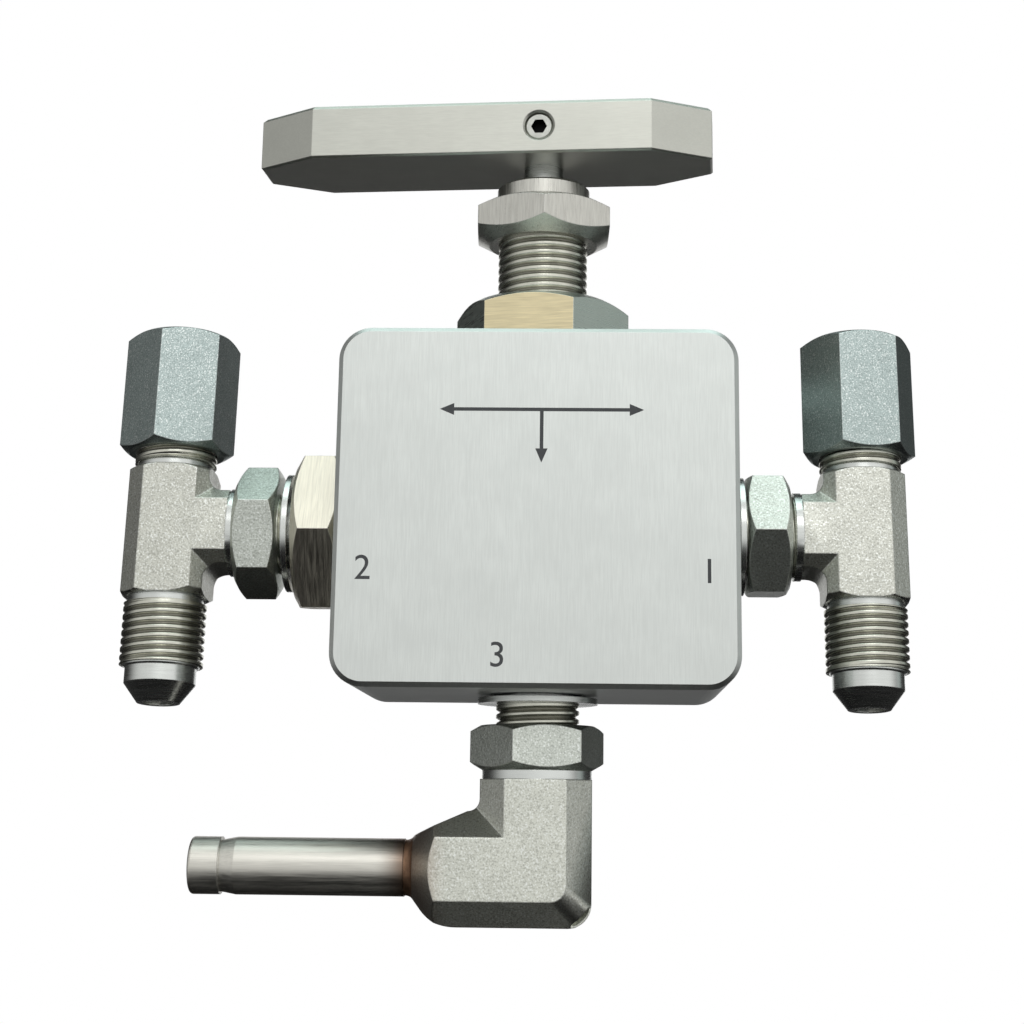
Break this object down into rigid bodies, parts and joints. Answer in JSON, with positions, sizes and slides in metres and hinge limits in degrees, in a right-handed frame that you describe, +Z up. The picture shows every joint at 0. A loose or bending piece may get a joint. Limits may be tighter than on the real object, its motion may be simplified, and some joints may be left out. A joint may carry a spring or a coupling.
{
  "type": "three-way valve",
  "caption": "Three-way ball valve: rounded steel block with a bar handle on a threaded panel neck, flared run tees at the sides and an elbow with a tube stub below.",
  "frame": {"origin": "on the stem axis, at the panel seat on top of the bonnet's hexagon", "axes": "+Z up the stem, -Y out of the engraved front, +X toward port A"},
  "size_m": [0.1408, 0.042, 0.1432],
  "materials": {
    "block_steel": "vertical brushed",
    "bonnet_steel": "brushed across the flats",
    "nut_steel": "satin turned",
    "forged_steel": "pebbled forging, plated",
    "tube_nut_steel": "fine grained plated",
    "handle_steel": "brushed along the bar",
    "tube_steel": "polished tube",
    "turned_steel": "bright turned",
    "braze_metal": "dull, heat tinted",
    "black_steel": "black oxide",
    "seat_plastic": "matte",
    "packing_plastic": "matte",
    "seal_rubber": "matte"
  },
  "bodies": {
    "valve_body": {"body_block": "block_steel", "end_adapter": "bonnet_steel", "adapter_ring": "seal_rubber", "seat_a": "seat_plastic", "seat_b": "seat_plastic", "seat_ring_a": "seal_rubber", "seat_ring_b": "seal_rubber", "bonnet": "bonnet_steel", "bonnet_ring": "seal_rubber", "stop_pin": "turned_steel", "stem_packing": "packing_plastic", "gland": "turned_steel", "gland_nut": "nut_steel"},
    "handle": {"handle_bar": "handle_steel", "handle_set_screw": "black_steel", "stem": "turned_steel", "thrust_washer": "seat_plastic"},
    "ball": {"ball": "turned_steel"},
    "tee_a": {"tee_a": "forged_steel", "tube_nut_a": "tube_nut_steel", "flare_sleeve_a": "turned_steel", "lock_nut_a": "forged_steel", "backup_washer_a": "turned_steel", "port_ring_a": "seal_rubber"},
    "tee_b": {"tee_b": "forged_steel", "tube_nut_b": "tube_nut_steel", "flare_sleeve_b": "turned_steel", "lock_nut_b": "forged_steel", "backup_washer_b": "turned_steel", "port_ring_b": "seal_rubber"},
    "elbow": {"elbow_c": "forged_steel", "tube_stub_c": "tube_steel", "braze_ring_c": "braze_metal", "lock_nut_c": "forged_steel", "backup_washer_c": "turned_steel", "port_ring_c": "seal_rubber"}
  },
  "joints": [
    {"name": "handle_turn", "type": "hinge", "parent": "valve_body", "child": "handle", "pos_m": [0, 0, 0], "axis": [0, 0, 1], "range_deg": [0, 180]},
    {"name": "ball_turn", "type": "hinge", "parent": "valve_body", "child": "ball", "pos_m": [0, 0, -0.041], "axis": [0, 0, 1], "range_deg": [0, 180]},
    {"name": "tee_a_swivel", "type": "hinge", "parent": "valve_body", "child": "tee_a", "pos_m": [0.0335, 0, -0.041], "axis": [1, 0, 0], "continuous": true},
    {"name": "tee_b_swivel", "type": "hinge", "parent": "valve_body", "child": "tee_b", "pos_m": [-0.0421, 0, -0.041], "axis": [1, 0, 0], "continuous": true},
    {"name": "elbow_swivel", "type": "hinge", "parent": "valve_body", "child": "elbow", "pos_m": [0, 0, -0.0689], "axis": [0, 0, 1], "continuous": true}
  ],
  "couplings": [
    {"joint": "ball_turn", "follows": "handle_turn", "ratio": 1}
  ]
}
